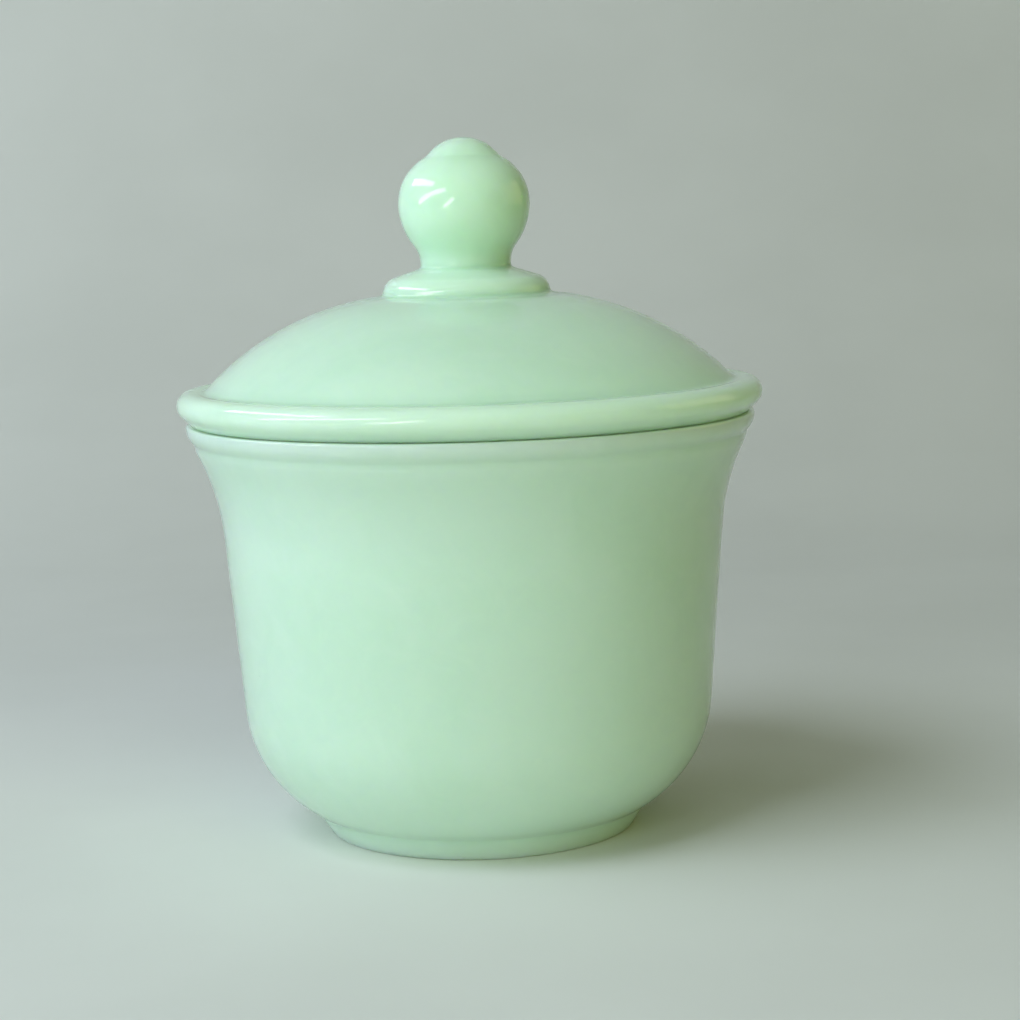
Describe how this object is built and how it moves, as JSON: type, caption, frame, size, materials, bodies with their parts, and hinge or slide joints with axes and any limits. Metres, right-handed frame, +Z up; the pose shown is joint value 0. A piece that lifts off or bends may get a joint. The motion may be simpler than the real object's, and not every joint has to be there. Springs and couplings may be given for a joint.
{
  "type": "covered jar",
  "caption": "Covered jar of opaque pressed glass: a footed bowl with a flared, beaded rim and a loose domed lid with a ball knob moulded in.",
  "frame": {"origin": "centre of the foot ring, on the plane that the jar rests on", "axes": "+Z up along the jar's axis of revolution; +X and +Y are any two level directions, because the jar is round"},
  "size_m": [0.1094, 0.1094, 0.1295],
  "materials": {
    "jade_glass": "gloss, opaque jade-green milk glass"
  },
  "bodies": {
    "bowl": {"bowl": "jade_glass"},
    "lid": {"lid": "jade_glass"}
  },
  "joints": [
    {"name": "lid_lift", "type": "slide", "parent": "bowl", "child": "lid", "axis": [0, 0, 1], "range_m": [0, 0.06]}
  ]
}
